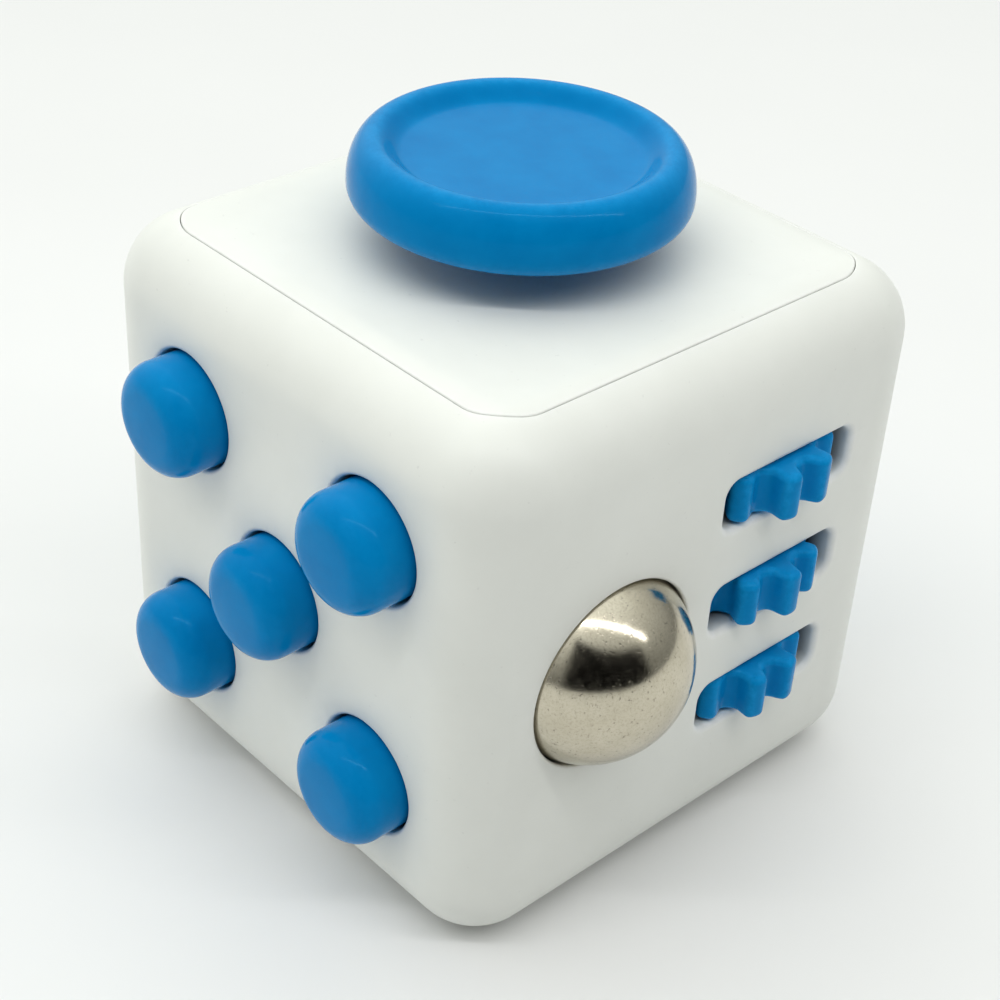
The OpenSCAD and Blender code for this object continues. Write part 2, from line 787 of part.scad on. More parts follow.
// A thin strip held in two slotted posts, with a bump in a notch of the retainer
module dial_click_spring() color(STEEL) {
    low = click_v - leaf_t / 2;
    high = click_v + leaf_t / 2;
    tip = -retainer_r + 0.32;
    on_face(180) translate([0, 0, -3.2]) linear_extrude(0.8)
        polygon([
            [-5.6, low], [-5.6, high], [-1.2, high], [-0.12, tip], [0.12, tip], [1.2, high],
            [5.6, high], [5.6, low], [1.1, low], [0, tip - 0.3], [-1.1, low]
        ]);
}

side_shell();
top_panel();
base_panel();
button_upper_left();
button_upper_right();
button_centre();
button_lower_left();
button_lower_right();
click_dome_upper_left();
click_dome_centre();
click_dome_lower_right();
silent_cup_upper_right();
silent_cup_lower_left();
button_backplate();
backplate_screws();
roller_ball();
ball_carrier();
ball_spring();
ball_bracket();
ball_bracket_screws();
gear_upper();
gear_middle();
gear_lower();
gear_axle();
gear_frame();
gear_frame_screws();
gear_click_spring_upper();
gear_click_spring_middle();
gear_click_spring_lower();
joystick_cap();
joystick_stem();
joystick_gimbal_ring();
joystick_pivot_pin();
joystick_cradle();
joystick_cradle_screws();
joystick_spring();
rocker_switch();
rocker_frame();
rocker_frame_screws();
rocker_click_spring();
rocker_spring_screws();
dial_knob();
dial_retainer();
dial_screw();
dial_click_spring();
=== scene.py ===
# %% [markdown]
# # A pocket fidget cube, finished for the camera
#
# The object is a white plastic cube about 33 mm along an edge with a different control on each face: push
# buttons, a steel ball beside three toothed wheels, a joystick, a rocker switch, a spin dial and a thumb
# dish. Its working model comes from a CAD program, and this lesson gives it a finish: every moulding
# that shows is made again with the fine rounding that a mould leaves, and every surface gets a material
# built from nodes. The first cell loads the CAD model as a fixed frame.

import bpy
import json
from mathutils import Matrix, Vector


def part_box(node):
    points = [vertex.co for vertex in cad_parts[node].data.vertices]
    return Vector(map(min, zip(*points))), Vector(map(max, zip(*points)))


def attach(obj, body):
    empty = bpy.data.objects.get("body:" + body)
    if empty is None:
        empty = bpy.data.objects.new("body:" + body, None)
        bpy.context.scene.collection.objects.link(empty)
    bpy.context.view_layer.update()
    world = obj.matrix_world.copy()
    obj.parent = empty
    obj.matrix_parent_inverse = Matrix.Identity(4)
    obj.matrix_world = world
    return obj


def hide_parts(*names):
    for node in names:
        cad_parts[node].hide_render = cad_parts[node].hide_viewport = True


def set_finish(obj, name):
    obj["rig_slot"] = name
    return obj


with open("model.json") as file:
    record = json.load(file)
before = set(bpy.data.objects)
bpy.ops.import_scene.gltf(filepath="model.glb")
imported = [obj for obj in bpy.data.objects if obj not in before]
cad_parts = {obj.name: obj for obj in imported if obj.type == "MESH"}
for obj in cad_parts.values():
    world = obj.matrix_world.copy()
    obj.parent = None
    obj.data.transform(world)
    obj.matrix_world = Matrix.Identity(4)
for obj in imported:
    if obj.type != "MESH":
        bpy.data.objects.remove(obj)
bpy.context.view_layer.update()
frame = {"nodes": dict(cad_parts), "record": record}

# %% [markdown]
# The CAD program measures in millimetres and Blender in metres, so two small helpers read the boxes of the
# CAD nodes back in millimetres. Every piece made below takes its place and its size from them.

# %% Tools used all through
import json
import math

import bmesh
import bpy
from mathutils import Matrix, Vector
from mathutils.geometry import delaunay_2d_cdt

MM = 0.001


def box_mm(node):
    """The lowest and highest corners of a CAD node, in millimetres."""
    low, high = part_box(node)
    return Vector(low) / MM, Vector(high) / MM


def middle_mm(node):
    """The middle of a CAD node, in millimetres."""
    low, high = box_mm(node)
    return (low + high) / 2


HALF = box_mm("side_shell")[1].x
MID_Z = HALF
CUBE = 2 * HALF
print(f"the cube is {CUBE:.1f} mm along an edge")

# %% [markdown]
# ## The camera
#
# A small thing is looked at from close by, and that gives it strong perspective: the far corners of the
# cube look clearly smaller than the near one. The camera stands 116 mm from the middle of the cube, on
# the corner between the button face and the ball face, and looks down on it. The little roll keeps the
# slight slant that a camera held by hand has. It is made first so that a test render works at any time.

# %% Place the camera
CAMERA_TURN = math.radians(45.79)
CAMERA_RISE = math.radians(34.41)
CAMERA_ROLL = math.radians(-3.59)
CAMERA_AWAY = 116.0
CAMERA_AIM = Vector((0.27, -0.35, 15.89))


def place_camera():
    back = Vector((
        math.sin(CAMERA_TURN) * math.cos(CAMERA_RISE),
        -math.cos(CAMERA_TURN) * math.cos(CAMERA_RISE),
        math.sin(CAMERA_RISE),
    ))
    level = (-back).cross(Vector((0, 0, 1))).normalized()
    fall = (-back).cross(level)
    right = math.cos(CAMERA_ROLL) * level + math.sin(CAMERA_ROLL) * fall
    down = -math.sin(CAMERA_ROLL) * level + math.cos(CAMERA_ROLL) * fall
    data = bpy.data.cameras.new("view")
    data.lens = 70.76
    data.clip_start, data.clip_end = 0.01, 5.0
    camera = bpy.data.objects.new("view", data)
    place = Matrix((right, -down, back)).transposed().to_4x4()
    place.translation = (CAMERA_AIM + back * CAMERA_AWAY) * MM
    camera.matrix_world = place
    bpy.context.scene.collection.objects.link(camera)
    bpy.context.scene.camera = camera
    return camera


camera = place_camera()
print("camera at", [round(v / MM, 1) for v in camera.location], "mm")

# %% [markdown]
# ## Wear
#
# Handling rubs the outer edges of a moulding first, and the tighter the edge, the sooner it shows. So before
# a piece is finished, each of its vertices learns how tightly the skin bends outwards there. The bend is the
# angle between two neighbouring faces over the distance between their middles, and a flat or hollow place
# counts as unworn. The materials read the number later to make the edges lighter.

# %% How worn each vertex is
WORN_RADIUS = 0.9
UNWORN_BEND = 0.4
LEAST_APART = 0.05


def measure_wear(bm):
    """For each vertex, 0 where the skin is flat or hollow, up to 1 on tightly rounded outer edges."""
    bm.verts.ensure_lookup_table()
    bm.verts.index_update()
    sharpness = [0.0] * len(bm.verts)
    for edge in bm.edges:
        if len(edge.link_faces) != 2 or edge.calc_length() < 1e-6:
            continue
        a, b = (face.calc_center_median() for face in edge.link_faces)
        apart = max((a - b).length / MM, LEAST_APART)
        bend_per_mm = edge.calc_face_angle_signed(0) / apart
        tight = min(1.0, max(0.0, bend_per_mm * WORN_RADIUS - UNWORN_BEND))
        for vert in edge.verts:
            sharpness[vert.index] = max(sharpness[vert.index], tight)
    return [
        (sharpness[v.index] + sum(sharpness[e.other_vert(v).index] for e in v.link_edges))
        / (1 + len(v.link_edges))
        for v in bm.verts
    ]


# %% [markdown]
# ## Rings, bridges and fills
#
# Almost every moulding here can be drawn as a few closed rings of points, with quads between one ring
# and the next and a flat fill inside the last. That way keeps full control of where the fine rounding
# goes, and it never leaves the slivers that a boolean cut leaves. `Skin` collects such rings. Where two
# neighbouring points of a ring are the same point, the quad becomes a triangle, so a ring may shrink
# into a corner.

# %% The ring builder
SHARP = math.radians(35)
CROWDED = 0.45


class Skin:
    """A mesh made of rings of points in millimetres, the quads between them, and flat fills."""

    def __init__(self):
        self.bm = bmesh.new()

    def ring(self, points):
        """Adds a ring of points; points that coincide with the one before share its vertex."""
        made = []
        for p in points:
            if made and (Vector(p) - self.last).length < 1e-5:
                made.append(made[-1])
                continue
            made.append(self.bm.verts.new(Vector(p) * MM))
            self.last = Vector(p)
        return made

    def face(self, corners):
        unique = []
        for v in corners:
            if v not in unique:
                unique.append(v)
        if len(unique) > 2:
            try:
                self.bm.faces.new(unique)
            except ValueError:
                pass

    def bridge(self, a, b):
        for i in range(len(a)):
            j = (i + 1) % len(a)
            self.face((a[i], a[j], b[j], b[i]))

    def stack(self, rings):
        """Adds many rings and bridges each to the next; returns the first and the last."""
        made = [self.ring(points) for points in rings]
        for a, b in zip(made, made[1:]):
            self.bridge(a, b)
        return made[0], made[-1]

    def fan(self, ring, tip):
        middle = self.bm.verts.new(Vector(tip) * MM)
        for i in range(len(ring)):
            self.face((ring[i], ring[(i + 1) % len(ring)], middle))

    def loop_edges(self, ring):
        edges = []
        for i in range(len(ring)):
            a, b = ring[i], ring[(i + 1) % len(ring)]
            if a is not b:
                edge = self.bm.edges.get((a, b)) or self.bm.edges.new((a, b))
                edges.append(edge)
        return edges

    def fill(self, *loops):
        """Fills the flat area between an outer loop and the loops inside it with triangles."""
        edges = dict.fromkeys(e for loop in loops for e in self.loop_edges(loop))
        bmesh.ops.triangle_fill(self.bm, use_beauty=True, use_dissolve=False, edges=list(edges))

    def web(self, place, outline, holes, spacing=1.0):
        """Fills an area, given in (across, up), with an even web of triangles, round its holes."""
        loops = [outline] + holes
        points = [Vector(p) for loop in loops for p in loop]
        edges, start = [], 0
        for loop in loops:
            edges += [(start + i, start + (i + 1) % len(loop)) for i in range(len(loop))]
            start += len(loop)
        reach = int(HALF / spacing)
        for i in range(-reach, reach + 1):
            for k in range(-reach, reach + 1):
                dot = Vector((i * spacing, k * spacing))
                if inside(dot, outline) and min((dot - p).length for p in points) > CROWDED * spacing:
                    points.append(dot)
        made, _, faces, *_ = delaunay_2d_cdt(points, edges, [], 0, 1e-6)
        verts = [self.bm.verts.new(place(p.x, p.y) * MM) for p in made]
        for face in faces:
            centre = sum((made[i] for i in face), Vector((0, 0))) / 3
            if inside(centre, outline) and not any(inside(centre, hole) for hole in holes):
                self.face([verts[i] for i in face])

    def piece(self, name, body, replaced, slot):
        """Turns the skin into a piece that rides on a body and stands for the CAD nodes named."""
        bmesh.ops.remove_doubles(self.bm, verts=self.bm.verts, dist=1e-7)
        loose = [v for v in self.bm.verts if not v.link_faces]
        bmesh.ops.delete(self.bm, geom=loose, context="VERTS")
        bmesh.ops.recalc_face_normals(self.bm, faces=self.bm.faces)
        for face in self.bm.faces:
            face.smooth = True
        for edge in self.bm.edges:
            edge.smooth = len(edge.link_faces) == 2 and edge.calc_face_angle(0) < SHARP
        wear = measure_wear(self.bm)
        mesh = bpy.data.meshes.new(name)
        self.bm.to_mesh(mesh)
        mesh.attributes.new("wear", "FLOAT", "POINT").data.foreach_set("value", wear)
        open_edges = sum(1 for e in self.bm.edges if len(e.link_faces) != 2)
        self.bm.free()
        piece = bpy.data.objects.new(name, mesh)
        bpy.context.scene.collection.objects.link(piece)
        weighted = piece.modifiers.new("even_normals", "WEIGHTED_NORMAL")
        weighted.keep_sharp = True
        weighted.weight = 100
        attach(piece, body)
        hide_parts(*replaced)
        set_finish(piece, slot)
        print(f"{name}: {len(mesh.polygons)} faces, {open_edges} open edges")
        return piece


def inside(point, loop):
    """Whether a point (x, y) lies inside a closed loop of points."""
    result = False
    for (ax, ay), (bx, by) in zip(loop, loop[1:] + loop[:1]):
        if (ay > point[1]) != (by > point[1]):
            if point[0] < ax + (bx - ax) * (point[1] - ay) / (by - ay):
                result = not result
    return result


def arc(middle, radius, start, end, steps):
    """Points (x, y) along an arc, with its angles in degrees."""
    return [
        (
            middle[0] + radius * math.cos(math.radians(start + (end - start) * i / steps)),
            middle[1] + radius * math.sin(math.radians(start + (end - start) * i / steps)),
        )
        for i in range(steps + 1)
    ]


def circle(radius, steps=96):
    return [
        (radius * math.cos(2 * math.pi * i / steps), radius * math.sin(2 * math.pi * i / steps))
        for i in range(steps)
    ]


def rounded_rectangle(width, height, radius, steps=8):
    """A closed outline (x, y) with round corners."""
    a, b = width / 2 - radius, height / 2 - radius
    corners = (((a, b), 0), ((-a, b), 90), ((-a, -b), 180), ((a, -b), 270))
    return [p for middle, start in corners for p in arc(middle, radius, start, start + 90, steps)]


# %% [markdown]
# Each face of the cube has its own flat coordinates: across, up, and outwards from its surface. The same
# function then places a button on the front or a dial on the back.

# %% Coordinates of a face
FRONT, BALL_SIDE, BACK, ROCKER_SIDE = 0, 90, 180, 270


def face_frame(angle):
    """Maps (across, up, outwards) on an upright face to the cube's own millimetres."""
    turn = Matrix.Rotation(math.radians(angle), 3, "Z")
    across = turn @ Vector((1, 0, 0))
    outwards = turn @ Vector((0, -1, 0))

    def place(u, v, w):
        return across * u + Vector((0, 0, MID_Z + v)) + outwards * (HALF + w)

    return place


def lathe(skin, place, profile, steps=96):
    """Spins a profile of (radius, outwards) round a face's own axis; radius 0 closes an end."""
    inner = [p for p in profile if p[0] > 1e-6]
    rings = [[place(x, y, w) for x, y in circle(r, steps)] for r, w in inner]
    first, last = skin.stack(rings)
    for (r, w), ring in ((profile[0], first), (profile[-1], last)):
        if r <= 1e-6:
            skin.fan(ring, place(0, 0, w))


# %% [markdown]
# ## The white case
#
# The real case is one hollow moulding with thick walls: four faces, round edges and corners, and a lip
# that holds a square panel at the top and another at the base. Its surface here is a net of columns that
# run down the outside. A column starts at the seam of the top panel, follows the round edge over to
# the side, and comes back under at the base. Where a column meets a flat face, the face is filled
# instead, because it has holes in it.

# %% Outline of the case
EDGE = 4.1
FLAT = HALF - EDGE
WALL = 2.0
PANEL = 2.0
SEAM_HALF = 13.8
SEAM_RADIUS = 2.76
SEAM_CENTRE = SEAM_HALF - SEAM_RADIUS
SEAM_LIP = 0.08
CORNER_STEPS = 14


def seam_reach(y):
    """How far the panel's seam lies beyond the straight part of a face, at a point along it."""
    if abs(y) <= SEAM_CENTRE:
        return SEAM_HALF - FLAT
    return SEAM_CENTRE + math.sqrt(SEAM_RADIUS**2 - (abs(y) - SEAM_CENTRE) ** 2) - FLAT


def corner_reach(angle):
    """The same round a corner, measured out from the corner's own upright axis."""
    along = (FLAT - SEAM_CENTRE) * (math.cos(angle) + math.sin(angle))
    rest = 2 * (FLAT - SEAM_CENTRE) ** 2 - SEAM_RADIUS**2
    return -along + math.sqrt(along**2 - rest)


def case_columns():
    """A list of (foot, direction, reach to the seam, face number or None) round the case."""
    edge_part = [SEAM_CENTRE + (FLAT - SEAM_CENTRE) * k / 5 for k in range(6)]
    stations = [-s for s in reversed(edge_part)] + [-5.5, 0, 5.5] + edge_part
    columns = []
    for side in range(4):
        turn = Matrix.Rotation(math.radians(90 * side), 3, "Z")
        for y in stations:
            columns.append((turn @ Vector((FLAT, y, 0)), turn @ Vector((1, 0, 0)), seam_reach(y), side))
        for k in range(1, CORNER_STEPS):
            a = math.radians(90 * k / CORNER_STEPS)
            spoke = Vector((math.cos(a), math.sin(a), 0))
            columns.append((turn @ Vector((FLAT, FLAT, 0)), turn @ spoke, corner_reach(a), None))
    return columns


COLUMNS = case_columns()
print("columns round the case:", len(COLUMNS))

# %% [markdown]
# A seam looks like a seam because both sides of it are slightly rounded, so each catches a thin light
# line and leaves a dark one between. `soft_corner` makes that rounding as a short curve which takes the
# place of a sharp corner.

# %% The round edge and the seam


def soft_corner(before, corner, after, steps=4):
    """A short curve from one point to another, pulled towards the sharp corner between them."""
    points = []
    for i in range(steps + 1):
        t = i / steps
        points.append(before * (1 - t) ** 2 + corner * 2 * t * (1 - t) + after * t**2)
    return points


def edge_profile(reach, inwards):
    """Points (out, up) over the round edge: up to the seam from outside, or on to it from the panel."""
    top = math.sqrt(EDGE**2 - reach**2)
    corner = Vector((reach, top))
    before = reach + (SEAM_LIP if not inwards else -SEAM_LIP)
    start = Vector((before, math.sqrt(EDGE**2 - before**2)))
    wall = Vector((reach, top - SEAM_LIP))
    curve = soft_corner(start, corner, wall)
    lift = math.atan2(start.y, start.x)
    steps = 6 if inwards else 12
    if inwards:
        outs = [before * k / steps for k in range(steps)]
        run = [Vector((out, math.sqrt(EDGE**2 - out**2))) for out in outs]
    else:
        run = [Vector((EDGE * math.cos(lift * k / steps), EDGE * math.sin(lift * k / steps)))
               for k in range(steps)]
    return run + curve


def over_the_edge(upwards, inwards, gap=0.0):
    """Rings over the top edge (or under the base edge) of the case, or of a panel."""
    profiles = [edge_profile(reach - gap, inwards) for _, _, reach, _ in COLUMNS]
    rings = []
    for k in range(len(profiles[0])):
        ring = []
        for (foot, spoke, _, _), profile in zip(COLUMNS, profiles):
            out, up = profile[k]
            height = MID_Z + upwards * (FLAT + up)
            ring.append(foot + spoke * out + Vector((0, 0, height)))
        rings.append(ring)
    return rings


def level_ring(out, height, upwards, from_seam=False):
    """A ring at one height; out is measured from the flat part of a face, or else from the seam."""
    return [
        foot + spoke * (reach + out if from_seam else out)
        + Vector((0, 0, MID_Z + upwards * (height - MID_Z)))
        for foot, spoke, reach, _ in COLUMNS
    ]


# %% [markdown]
# ### The holes
#
# The button face has five round holes, the ball face has a round hole and three slots, and the hidden
# faces have a bore and a square opening. Each is drawn as its outline at several depths: first a few that
# swell outwards to round the lip, then the straight wall down to the inside of the case.

# %% Where the holes are
BUTTONS = ["upper_left", "upper_right", "centre", "lower_left", "lower_right"]
GEARS = ["upper", "middle", "lower"]
BUTTON_HOLE = 3.6
BALL = middle_mm("roller_ball")
BALL_R = box_mm("roller_ball")[1].x - BALL.x
BALL_GAP = 0.2
WINDOW = (10.25, 3.38, 1.0)
WINDOW_Y = 5.375
print(f"ball: {2 * BALL_R:.1f} mm across, {BALL.x + BALL_R - HALF:.2f} mm proud of its face")


def bend(place):
    """Lets a hole that reaches past the flat part of a face follow the round edge there."""

    def bent(u, v, w):
        radius = EDGE + w
        past = max(0.0, abs(u) - FLAT)
        return place(u, v, w - radius + math.sqrt(radius**2 - past**2))

    return bent


def hole_loops(outline, extra, lip):
    """(points, depth) of one hole: the rounded lip, then the wall down to the inside."""
    loops = []
    for k in range(6):
        a = math.radians(90 * k / 5)
        depth = lip * (1 - math.cos(a))
        loops.append((outline(lip * (0.65 - math.sin(a)) + extra(depth)), depth))
    for depth in (0.4 * WALL, 0.7 * WALL, WALL):
        loops.append((outline(extra(depth) - 0.35 * lip), depth))
    return loops


def round_hole(u, v, radius):
    return lambda grow: [(u + x, v + y) for x, y in circle(radius + grow, 72)]


def slot_hole(u, v, width, height, radius):
    return lambda grow: [
        (u + x, v + y)
        for x, y in rounded_rectangle(width + 2 * grow, height + 2 * grow, radius + grow)
    ]


def socket_mouth(depth):
    """The radius of the ball's round socket where it cuts a plane below the face."""
    return math.sqrt((BALL_R + BALL_GAP) ** 2 - (HALF - depth - BALL.x) ** 2)


def ball_relief(depth):
    """The hole for the ball widens inwards as a sphere, so that the ball can't fall out."""
    return socket_mouth(depth) - socket_mouth(0)


def straight(depth):
    return 0.0


def holes_by_face():
    """For each face, a list of (outline, widening with depth, rounding of the lip)."""
    holes = {FRONT: [], BALL_SIDE: [], BACK: [], ROCKER_SIDE: []}
    for name in BUTTONS:
        place = middle_mm("button_" + name)
        holes[FRONT].append((round_hole(place.x, place.z - MID_Z, BUTTON_HOLE), straight, 0.25))
    ball_hole = round_hole(BALL.y, BALL.z - MID_Z, socket_mouth(0))
    holes[BALL_SIDE].append((ball_hole, ball_relief, 0.22))
    for name in GEARS:
        height = middle_mm("gear_" + name).z - MID_Z
        holes[BALL_SIDE].append((slot_hole(WINDOW_Y, height, *WINDOW), straight, 0.42))
    holes[BACK].append((round_hole(0, 0, 3.0), straight, 0.2))
    holes[ROCKER_SIDE].append((slot_hole(0, 0, 8.4, 15.2, 0.4), straight, 0.25))
    return holes


# %% Build the case
INNER = HALF - WALL - FLAT
LIP_IN = 0.2
LIP_THICK = 1.2
BENT_COLUMNS = 5


def make_case():
    skin = Skin()
    halves = []
    for up in (1, -1):
        outside = over_the_edge(up, inwards=False)
        pocket = level_ring(0, CUBE - PANEL, up, from_seam=True)
        under_lip = CUBE - PANEL - LIP_THICK
        throat = [level_ring(LIP_IN, CUBE - PANEL, up), level_ring(LIP_IN, under_lip, up)]
        ceiling = level_ring(INNER, under_lip, up)
        first, last = skin.stack(outside + [pocket] + throat + [ceiling])
        halves.append((first, last))
    holes = holes_by_face()
    faces = {0: BALL_SIDE, 1: BACK, 2: ROCKER_SIDE, 3: FRONT}
    count = len(COLUMNS)
    for layer, depth in ((0, 0), (1, WALL)):
        upper, lower = halves[0][layer], halves[1][layer]
        webbed = set()
        for side, angle in faces.items():
            place = bend(face_frame(angle))
            members = [i for i in range(count) if COLUMNS[i][3] == side]
            if angle == BALL_SIDE:
                members = list(range(count - BENT_COLUMNS, count)) + members
            webbed.update(members[:-1])
            across = face_frame(angle)(1, 0, 0) - face_frame(angle)(0, 0, 0)
            border = [upper[i].co / MM for i in members] + [lower[i].co / MM for i in members[::-1]]
            outline = [(co.dot(across), co.z - MID_Z) for co in border]
            loops = []
            for shape, extra, lip in holes[angle]:
                drawn = hole_loops(shape, extra, lip)
                if layer == 0:
                    skin.stack([[place(u, v, -down) for u, v in points] for points, down in drawn])
                loops.append(drawn[0 if layer == 0 else -1][0])
            skin.web(lambda u, v: place(u, v, -depth), outline, loops)
        for i in range(count):
            j = (i + 1) % count
            if i not in webbed:
                skin.face((upper[i], upper[j], lower[j], lower[i]))
    return skin.piece("white_case", "case", ["side_shell"], "white_plastic")


case = make_case()

# %% [markdown]
# ## The two square panels
#
# The joystick grows out of the upper panel, and the lower one has a shallow dish that a thumb rubs. Both
# finish the round edge that the case begins, so they use the same columns, seen from the other side of
# the seam.

# %% Build the panels
PANEL_GAP = 0.05
STICK_HOLE = 4.4
STICK_LIP = 0.25
HOOK_HALF_WIDTH = 2
DISH_R = 10.5
DISH_DEPTH = 2.2
DISH_LIP = 0.9
DISH_BACK_R = 9.8
DISH_WALL = box_mm("base_panel")[1].z - DISH_DEPTH
print(f"the thumb dish is {DISH_DEPTH} mm deep and {DISH_WALL:.2f} mm thick")


def panel_skin(up):
    """The part of a panel that both share: underside rim, seam lip and round edge."""
    skin = Skin()
    rings = over_the_edge(up, inwards=True, gap=PANEL_GAP)
    rings.append(level_ring(-PANEL_GAP, CUBE - PANEL, up, from_seam=True))
    first, last = skin.stack(rings)
    return skin, first, last


def disc_ring(radius, height, steps=96):
    return [Vector((x, y, height)) for x, y in circle(radius, steps)]


def hook_prisms(skin, height, up):
    """Four snap hooks inside the panel that catch under the lip of the case."""
    outline = [(11.3, 0.0), (12.5, 0.0), (12.5, 1.3), (13.2, 1.3), (12.5, 2.1), (11.3, 2.1)]
    for turn in range(4):
        spin = Matrix.Rotation(math.radians(90 * turn), 3, "Z")
        rings = [[spin @ Vector((x, y, height - up * drop)) for x, drop in outline]
                 for y in (-HOOK_HALF_WIDTH, HOOK_HALF_WIDTH)]
        first, last = skin.stack(rings)
        skin.fill(first)
        skin.fill(last)


def make_joystick_panel():
    skin, crown, rim = panel_skin(1)
    rounding = [(STICK_HOLE + STICK_LIP * (1 - math.sin(a)), CUBE - STICK_LIP * (1 - math.cos(a)))
                for a in (math.radians(90 * k / 4) for k in range(5))]
    rings = [disc_ring(r, z) for r, z in rounding] + [disc_ring(STICK_HOLE, CUBE - PANEL)]
    mouth, back = skin.stack(rings)
    skin.fill(crown, mouth)
    skin.fill(rim, back)
    hook_prisms(skin, CUBE - PANEL, 1)
    return skin.piece("joystick_panel", "case", ["top_panel"], "white_plastic")


def dish_height(r):
    """How high the hollow of the thumb dish lies at a distance from its middle."""
    bowl = (DISH_R**2 + DISH_DEPTH**2) / (2 * DISH_DEPTH)
    return DISH_DEPTH - bowl + math.sqrt(bowl**2 - r**2)


def make_thumb_dish_panel():
    skin, crown, rim = panel_skin(-1)
    start = DISH_R - DISH_LIP
    before, after = Vector((DISH_R + DISH_LIP, 0)), Vector((start, dish_height(start)))
    rings = [disc_ring(*p) for p in soft_corner(before, Vector((DISH_R, 0)), after, 6)]
    radii = [start - start * k / 14 for k in range(1, 14)]
    rings += [disc_ring(r, dish_height(r)) for r in radii]
    mouth, last = skin.stack(rings)
    skin.fan(last, (0, 0, DISH_DEPTH))
    skin.fill(crown, mouth)
    radii = [DISH_BACK_R * k / 8 for k in range(7, 0, -1)]
    inner = [disc_ring(DISH_BACK_R, PANEL)] + [disc_ring(r, dish_height(r) + DISH_WALL) for r in radii]
    foot, peak = skin.stack(inner)
    skin.fan(peak, (0, 0, DISH_DEPTH + DISH_WALL))
    skin.fill(rim, foot)
    hook_prisms(skin, PANEL, -1)
    return skin.piece("thumb_dish_panel", "case", ["base_panel"], "white_plastic")


joystick_panel = make_joystick_panel()
thumb_dish_panel = make_thumb_dish_panel()

# %% [markdown]
# ## The five push buttons
#
# A button is a short plastic rod with a collar that keeps it from falling out. A lathe makes one: the
# profile is a few straight runs and one generous arc, with a slightly crowned end, because no real
# moulding is dead flat.

# %% Build the buttons
BUTTON_R = 3.33
BUTTON_ROUND = 1.55
BUTTON_CROWN = 0.06
button_low, button_high = box_mm("button_centre")
BUTTON_OUT = -button_low.y - HALF
BUTTON_IN = -button_high.y - HALF
COLLAR_R = 4.15
PIN_R = 1.2
CHAMFER = 0.1


def button_profile():
    collar_front, collar_back = -2.15, -3.15
    front = BUTTON_OUT - BUTTON_CROWN
    profile = [(0, BUTTON_IN), (PIN_R - CHAMFER, BUTTON_IN), (PIN_R, BUTTON_IN + CHAMFER)]
    profile += [(PIN_R, collar_back), (COLLAR_R - CHAMFER, collar_back), (COLLAR_R, collar_back + CHAMFER)]
    profile += [(COLLAR_R, collar_front), (BUTTON_R, collar_front), (BUTTON_R, -1.0), (BUTTON_R, 0.4)]
    profile += arc((BUTTON_R - BUTTON_ROUND, front - BUTTON_ROUND), BUTTON_ROUND, 0, 84, 14)
    edge = profile[-1]
    for k in range(1, 6):
        r = edge[0] * (1 - k / 5)
        profile.append((r, edge[1] + (BUTTON_OUT - edge[1]) * (1 - (r / edge[0]) ** 2)))
    return profile


def make_button(name):
    centre = middle_mm("button_" + name)
    front = face_frame(FRONT)
    skin = Skin()
    lathe(skin, lambda u, v, w: front(centre.x + u, centre.z - MID_Z + v, w), button_profile())
    return skin.piece("push_button_" + name, "button_" + name, ["button_" + name], "blue_plastic")


buttons = [make_button(name) for name in BUTTONS]

# %% [markdown]
# ## The steel ball
#
# A polished bearing ball is as round as anything made, so a sphere is the truth here. It is built with
# many fine segments because a mirror shows every facet.

# %% Build the ball


def make_ball():
    skin = Skin()
    rows = 64
    place = lambda x, y, w: BALL + Vector((w, x, y))
    profile = [(BALL_R * math.sin(math.pi * k / rows), BALL_R * math.cos(math.pi * k / rows))
               for k in range(rows + 1)]
    profile[0], profile[-1] = (0, BALL_R), (0, -BALL_R)
    lathe(skin, place, profile, 128)
    return skin.piece("steel_ball", "ball", ["roller_ball"], "polished_steel")


ball = make_ball()

# %% [markdown]
# ## The toothed wheels
#
# Three plastic gears turn on one pin behind the slots. Their teeth are plump, and soft to the thumb:
# round at the tips, round in the valleys, and round along every edge. One wave round a circle gives the
# outline, and the edge is rounded by pushing each ring of the outline inwards along its own normal.

# %% A prism with rounded edges


def normals_of(outline):
    """Outward normals at the points of a closed outline that runs anticlockwise."""
    count = len(outline)
    normals = []
    for i in range(count):
        ax, ay = outline[i - 1]
        bx, by = outline[(i + 1) % count]
        length = math.hypot(bx - ax, by - ay)
        normals.append(((by - ay) / length, -(bx - ax) / length))
    return normals


def rounded_prism(skin, place, outline, thickness, rounding, steps=5, bore=None):
    """A flat prism, centred on w = 0, whose two rims are rounded; a bore may run through it."""
    normals = normals_of(outline)
    rims = [(rounding * (1 - math.cos(math.radians(90 * k / steps))),
             thickness / 2 - rounding + rounding * math.sin(math.radians(90 * k / steps)))
            for k in range(steps + 1)]
    levels = [(inset, -w) for inset, w in reversed(rims)] + rims
    rings = [
        [place(x - nx * inset, y - ny * inset, w) for (x, y), (nx, ny) in zip(outline, normals)]
        for inset, w in levels
    ]
    low, high = skin.stack(rings)
    if bore is None:
        skin.fill(low)
        skin.fill(high)
        return
    soft = 0.12
    steps_down = [(bore + soft, -thickness / 2), (bore, soft - thickness / 2),
                  (bore, thickness / 2 - soft), (bore + soft, thickness / 2)]
    inner_low, inner_high = skin.stack([[place(x, y, w) for x, y in circle(r, 32)] for r, w in steps_down])
    skin.fill(low, inner_low)
    skin.fill(high, inner_high)


# %% [markdown]
# Each wheel has ten teeth. A squared-off wave makes them plumper than a plain wave would, and each wheel
# has come to rest at its own angle. A small bore runs through it for the pin.

